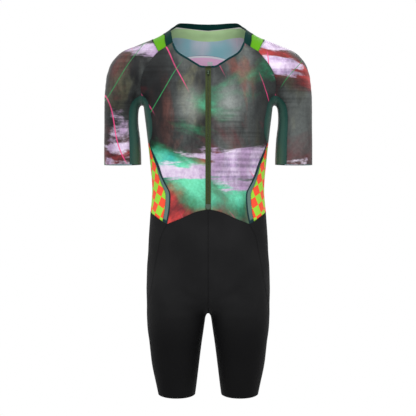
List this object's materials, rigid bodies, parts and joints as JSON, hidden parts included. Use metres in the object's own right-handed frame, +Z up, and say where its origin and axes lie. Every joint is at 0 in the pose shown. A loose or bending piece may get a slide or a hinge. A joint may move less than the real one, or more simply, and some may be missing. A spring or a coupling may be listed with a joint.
{
  "type": "triathlon suit",
  "caption": "Short-sleeved triathlon suit with a full front zip, filled out as if worn and open at the neck, sleeves and legs",
  "frame": {"origin": "centre of the neck opening at the height of the shoulders", "axes": "+X to the wearer's left, the front faces -Y, +Z up along the wearer"},
  "size_m": [0.5094, 0.2241, 0.9186],
  "materials": {
    "printed_cloth": "smooth stretch knit with a soft sheen, charcoal with a pale green and coral print",
    "sleeve_print": "smooth stretch knit, charcoal with a mint and lilac print",
    "gusset_mesh": "fine open knit, dark green",
    "chequer_cloth": "smooth stretch knit, orange and lime chequer",
    "band_cloth": "smooth stretch knit, grey green with dark edges",
    "shorts_cloth": "dense matt stretch knit, black",
    "zip_tape": "woven tape with moulded teeth, olive",
    "binding": "narrow stretch binding, dark teal",
    "yoke_cloth": "smooth stretch knit, lime outside",
    "neck_band_cloth": "smooth stretch knit, dark green",
    "zip_stop": "matt grey green",
    "inner_print": "smooth knit, pale pink with a pale border",
    "label": "woven tape, white, bare",
    "zip_metal": "satin dark olive"
  },
  "bodies": {
    "suit": {"front_left": "printed_cloth", "front_right": "printed_cloth", "back": "printed_cloth", "sleeve_left": "sleeve_print", "sleeve_right": "sleeve_print", "gusset_left": "gusset_mesh", "gusset_right": "gusset_mesh", "side_panel_left": "chequer_cloth", "side_panel_right": "chequer_cloth", "side_band_left": "band_cloth", "side_band_right": "band_cloth", "shorts_front_left": "shorts_cloth", "shorts_front_right": "shorts_cloth", "shorts_back_left": "shorts_cloth", "shorts_back_right": "shorts_cloth", "zip_tape_left": "zip_tape", "zip_tape_right": "zip_tape", "neck_binding_left": "binding", "neck_binding_right": "binding", "zip_garage": "binding", "back_yoke": "yoke_cloth", "neck_band": "neck_band_cloth", "zip_bottom_stop": "zip_stop", "inner_patch": "inner_print", "inner_label": "label", "zip_slider": "zip_metal"},
    "zip_pull": {"zip_pull": "zip_metal"}
  },
  "joints": [
    {"name": "pull_hinge", "type": "hinge", "parent": "suit", "child": "zip_pull", "pos_m": [0, -0.09835, -0.09587], "axis": [-1, 0, 0], "range_deg": [-4, 140]}
  ]
}
